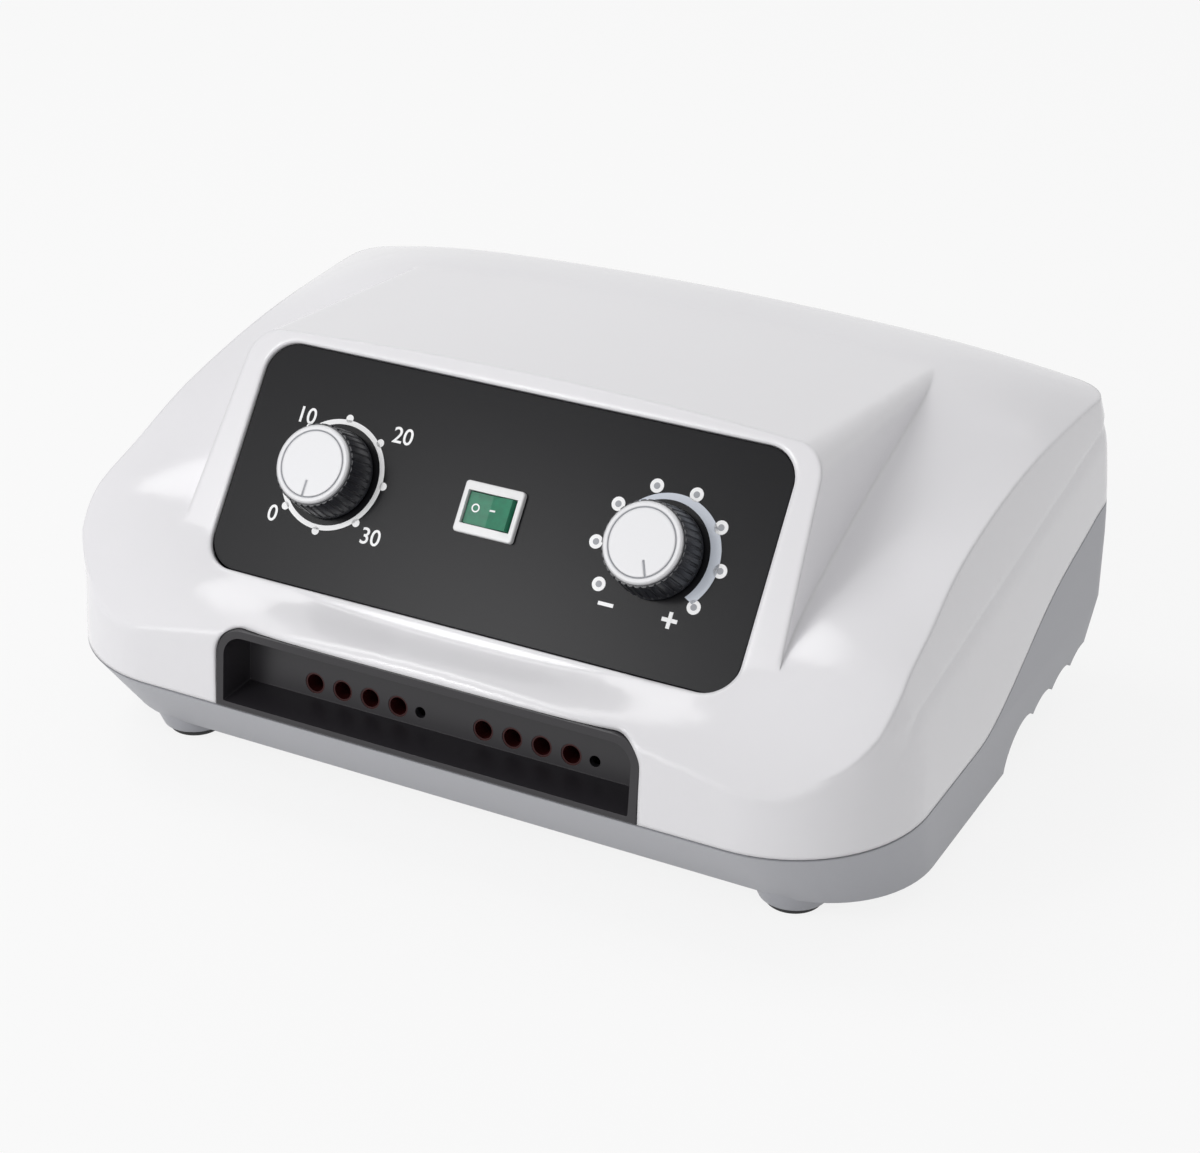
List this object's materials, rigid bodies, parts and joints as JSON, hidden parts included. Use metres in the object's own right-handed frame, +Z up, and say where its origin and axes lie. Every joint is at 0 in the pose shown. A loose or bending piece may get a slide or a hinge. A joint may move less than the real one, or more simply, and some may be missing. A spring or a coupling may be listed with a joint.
{
  "type": "compression therapy pump",
  "caption": "Console of an air-compression therapy pump: raised sloping panel with two rotary knobs and a rocker switch above a recessed row of hose ports.",
  "frame": {"origin": "middle of the bounding box's bottom face, on the ground under the feet", "axes": "+Z up, the front with the panel and hose ports faces -Y, +X to the right of a user who faces it"},
  "size_m": [0.3086, 0.2226, 0.14],
  "materials": {
    "cover_plastic": "gloss",
    "base_plastic": "satin",
    "panel_plastic": "satin",
    "bezel_plastic": "satin",
    "knob_plastic": "gloss",
    "cap_metal": "satin",
    "switch_plastic": "gloss",
    "rocker_green": "gloss",
    "seal_rubber": "satin",
    "inner_plastic": "satin",
    "hose_rubber": "satin",
    "steel": "satin",
    "core_steel": "matte",
    "coil_copper": "satin",
    "head_metal": "cast",
    "black_rubber": "matte",
    "inlet_plastic": "satin",
    "brass": "satin"
  },
  "bodies": {
    "housing": {"top_cover": "cover_plastic", "base_tray": "base_plastic", "control_panel": "panel_plastic", "port_bezel": "bezel_plastic", "hose_socket_left": "bezel_plastic", "hose_socket_right": "bezel_plastic", "port_seals_left": "seal_rubber", "port_seals_right": "seal_rubber", "port_hoses_left": "hose_rubber", "port_hoses_right": "hose_rubber", "timer_body": "inner_plastic", "pressure_valve": "brass", "dial_nuts": "steel", "switch_housing": "switch_plastic", "air_manifold": "inner_plastic", "spool_motor": "steel", "supply_hose": "hose_rubber", "control_hose": "hose_rubber", "pump_plate": "steel", "pump_mounts": "black_rubber", "pump_screws": "steel", "pump_core": "core_steel", "pump_coils": "coil_copper", "pump_diaphragm_left": "black_rubber", "pump_diaphragm_right": "black_rubber", "pump_head_left": "head_metal", "pump_head_right": "head_metal", "power_inlet": "inlet_plastic", "inlet_pins": "brass", "fuse_holder": "inlet_plastic", "terminal_block": "inner_plastic", "air_filter": "inner_plastic", "cover_screws": "steel", "foot_front_left": "black_rubber", "foot_front_right": "black_rubber", "foot_rear_left": "black_rubber", "foot_rear_right": "black_rubber"},
    "time_dial": {"time_knob": "knob_plastic", "time_knob_cap": "cap_metal", "time_shaft": "steel"},
    "pressure_dial": {"pressure_knob": "knob_plastic", "pressure_knob_cap": "cap_metal", "pressure_shaft": "steel"},
    "rocker_key": {"rocker": "rocker_green"},
    "spool_shaft": {"manifold_spool": "brass"},
    "armature_bar": {"pump_armature": "core_steel"}
  },
  "joints": [
    {"name": "time_knob_turn", "type": "hinge", "parent": "housing", "child": "time_dial", "pos_m": [-0.0592, -0.06144, 0.10314], "axis": [0, 0.7923, -0.6101], "range_deg": [0, 315]},
    {"name": "pressure_knob_turn", "type": "hinge", "parent": "housing", "child": "pressure_dial", "pos_m": [0.0592, -0.06144, 0.10314], "axis": [0, 0.7923, -0.6101], "range_deg": [-300, 0]},
    {"name": "rocker_tip", "type": "hinge", "parent": "housing", "child": "rocker_key", "pos_m": [0, -0.06065, 0.10253], "axis": [0, 0.6101, 0.7923], "range_deg": [0, 16]},
    {"name": "spool_turn", "type": "hinge", "parent": "housing", "child": "spool_shaft", "pos_m": [-0.004, -0.0349, 0.03796], "axis": [1, 0, 0], "continuous": true},
    {"name": "armature_stroke", "type": "slide", "parent": "housing", "child": "armature_bar", "axis": [1, 0, 0], "range_m": [-0.0012, 0.0012], "stiffness_N_per_m": 2000}
  ]
}
